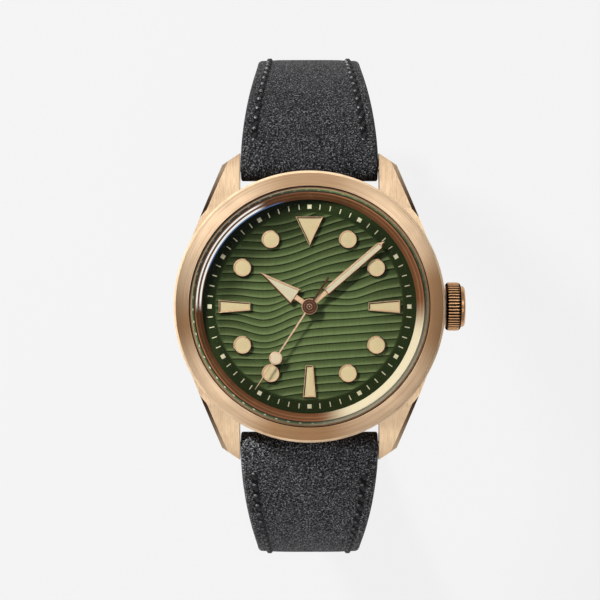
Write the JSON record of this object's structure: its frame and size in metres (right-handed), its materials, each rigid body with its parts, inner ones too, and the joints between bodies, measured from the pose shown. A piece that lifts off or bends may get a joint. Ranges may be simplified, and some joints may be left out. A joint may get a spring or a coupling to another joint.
{
  "type": "dive watch",
  "caption": "Wrist watch with a round brushed-bronze case, green wave-pressed dial, luminous markers and hands, fluted crown and a curled charcoal suede strap with a pin buckle.",
  "frame": {"origin": "centre of the case back's outer face", "axes": "+Z out through the crystal, +Y to 12 o'clock, +X to the crown at 3 o'clock"},
  "size_m": [0.0419, 0.0784, 0.0853],
  "materials": {
    "case_bronze": "satin-brushed bronze with a light warm patina",
    "bezel_bronze": "circular-brushed bronze with a polished edge",
    "crown_bronze": "fluted bronze",
    "rehaut_bronze": "smooth bronze",
    "crystal": "clear domed crystal with a bevelled edge",
    "gasket_rubber": "moulded",
    "dial_paint": "green lacquer over pressed waves, darker at the rim",
    "marker_gold": "polished gilt",
    "lume": "cream luminous fill",
    "hand_gold": "polished gilt",
    "seconds_bronze": "dark bronze",
    "steel": "turned steel",
    "movement_brass": "plated brass",
    "ruby": "polished synthetic jewel",
    "spring_blue": "blued spring alloy",
    "suede": "charcoal suede with a fine nap",
    "lining": "smooth dark lining leather",
    "buckle_bronze": "brushed bronze"
  },
  "bodies": {
    "case": {"mid_case": "case_bronze", "bezel": "bezel_bronze", "crystal": "crystal", "crystal_gasket": "gasket_rubber", "rehaut_ring": "rehaut_bronze", "case_back": "case_bronze", "back_gasket": "gasket_rubber", "crown_tube": "steel", "dial": "dial_paint", "marker_frames": "marker_gold", "marker_lume": "lume", "movement_ring": "steel", "main_plate": "movement_brass", "train_bridge": "steel", "jewels": "ruby", "hairspring": "spring_blue", "rotor_bearing": "steel", "upper_bar": "steel", "lower_bar": "steel"},
    "setting": {"setting_lever": "steel"},
    "crown": {"crown": "crown_bronze", "crown_gasket": "gasket_rubber", "stem": "steel"},
    "minute": {"minute_hand": "hand_gold", "minute_lume": "lume", "centre_wheel": "movement_brass"},
    "hour": {"hour_hand": "hand_gold", "hour_lume": "lume", "hour_wheel": "movement_brass"},
    "seconds": {"seconds_hand": "seconds_bronze", "seconds_lume": "lume", "seconds_pinion": "steel"},
    "minute_gear": {"minute_wheel": "movement_brass"},
    "barrel": {"barrel": "movement_brass"},
    "third": {"third_wheel": "movement_brass"},
    "fourth": {"fourth_wheel": "movement_brass"},
    "escape": {"escape_wheel": "steel"},
    "fork": {"pallet_fork": "steel"},
    "balance": {"balance_wheel": "movement_brass"},
    "rotor": {"rotor": "movement_brass"},
    "pin_ul": {"upper_pin_left": "steel"},
    "pin_ur": {"upper_pin_right": "steel"},
    "pin_ll": {"lower_pin_left": "steel"},
    "pin_lr": {"lower_pin_right": "steel"},
    "upper_strap": {"strap_upper": "suede", "lining_upper": "lining", "fixed_keeper": "suede", "buckle_bar": "steel"},
    "loose_keeper": {"free_keeper": "suede"},
    "buckle": {"buckle_frame": "buckle_bronze"},
    "tongue": {"buckle_tongue": "buckle_bronze"},
    "lower_strap": {"strap_lower": "suede", "lining_lower": "lining"}
  },
  "joints": [
    {"name": "crown_pull", "type": "slide", "parent": "case", "child": "setting", "axis": [1, 0, 0], "range_m": [0, 0.0014]},
    {"name": "crown_turn", "type": "hinge", "parent": "setting", "child": "crown", "pos_m": [0.021, 0, 0.00435], "axis": [1, 0, 0], "continuous": true},
    {"name": "minute_turn", "type": "hinge", "parent": "case", "child": "minute", "pos_m": [0, 0, 0.004], "axis": [0, 0, -1], "continuous": true},
    {"name": "hour_turn", "type": "hinge", "parent": "case", "child": "hour", "pos_m": [0, 0, 0.004], "axis": [0, 0, -1], "continuous": true},
    {"name": "seconds_turn", "type": "hinge", "parent": "case", "child": "seconds", "pos_m": [0, 0, 0.004], "axis": [0, 0, -1], "continuous": true},
    {"name": "minute_wheel_turn", "type": "hinge", "parent": "case", "child": "minute_gear", "pos_m": [0.00338, 0.00123, 0.004], "axis": [0, 0, -1], "continuous": true},
    {"name": "barrel_turn", "type": "hinge", "parent": "case", "child": "barrel", "pos_m": [-0.00117, 0.00665, 0.004], "axis": [0, 0, -1], "continuous": true},
    {"name": "third_turn", "type": "hinge", "parent": "case", "child": "third", "pos_m": [0.0026, -0.0045, 0.004], "axis": [0, 0, -1], "continuous": true},
    {"name": "fourth_turn", "type": "hinge", "parent": "case", "child": "fourth", "pos_m": [-0.00252, -0.00541, 0.004], "axis": [0, 0, -1], "continuous": true},
    {"name": "escape_turn", "type": "hinge", "parent": "case", "child": "escape", "pos_m": [-0.00598, -0.00666, 0.004], "axis": [0, 0, -1], "continuous": true},
    {"name": "fork_rock", "type": "hinge", "parent": "case", "child": "fork", "pos_m": [-0.00687, -0.00422, 0.004], "axis": [0, 0, -1], "range_deg": [-5, 5]},
    {"name": "balance_swing", "type": "hinge", "parent": "case", "child": "balance", "pos_m": [-0.00716, -0.00093, 0.004], "axis": [0, 0, -1], "range_deg": [-150, 150]},
    {"name": "rotor_turn", "type": "hinge", "parent": "case", "child": "rotor", "pos_m": [0, 0, 0.004], "axis": [0, 0, -1], "continuous": true},
    {"name": "upper_left_pin_slide", "type": "slide", "parent": "case", "child": "pin_ul", "axis": [1, 0, 0], "range_m": [0, 0.001], "stiffness_N_per_m": 200},
    {"name": "upper_right_pin_slide", "type": "slide", "parent": "case", "child": "pin_ur", "axis": [-1, 0, 0], "range_m": [0, 0.001], "stiffness_N_per_m": 200},
    {"name": "lower_left_pin_slide", "type": "slide", "parent": "case", "child": "pin_ll", "axis": [1, 0, 0], "range_m": [0, 0.001], "stiffness_N_per_m": 200},
    {"name": "lower_right_pin_slide", "type": "slide", "parent": "case", "child": "pin_lr", "axis": [-1, 0, 0], "range_m": [0, 0.001], "stiffness_N_per_m": 200},
    {"name": "upper_strap_swing", "type": "hinge", "parent": "case", "child": "upper_strap", "pos_m": [0, 0.02, 0.0026], "axis": [1, 0, 0], "range_deg": [0, 70]},
    {"name": "lower_strap_swing", "type": "hinge", "parent": "case", "child": "lower_strap", "pos_m": [0, -0.02, 0.0026], "axis": [-1, 0, 0], "range_deg": [0, 70]},
    {"name": "keeper_slide", "type": "hinge", "parent": "upper_strap", "child": "loose_keeper", "pos_m": [0, 0, -0.0355], "axis": [-1, 0, 0], "range_deg": [-6, 1.4]},
    {"name": "buckle_swing", "type": "hinge", "parent": "upper_strap", "child": "buckle", "pos_m": [0, 0.01882, -0.06828], "axis": [1, 0, 0], "range_deg": [-30, 45]},
    {"name": "tongue_swing", "type": "hinge", "parent": "buckle", "child": "tongue", "pos_m": [0, 0.01882, -0.06828], "axis": [1, 0, 0], "range_deg": [0, 100]}
  ],
  "couplings": [
    {"joint": "hour_turn", "follows": "minute_turn", "ratio": 0.083333},
    {"joint": "seconds_turn", "follows": "minute_turn", "ratio": 60},
    {"joint": "minute_wheel_turn", "follows": "minute_turn", "ratio": -0.33333},
    {"joint": "barrel_turn", "follows": "minute_turn", "ratio": -0.125},
    {"joint": "third_turn", "follows": "minute_turn", "ratio": -8},
    {"joint": "fourth_turn", "follows": "minute_turn", "ratio": 60}
  ]
}
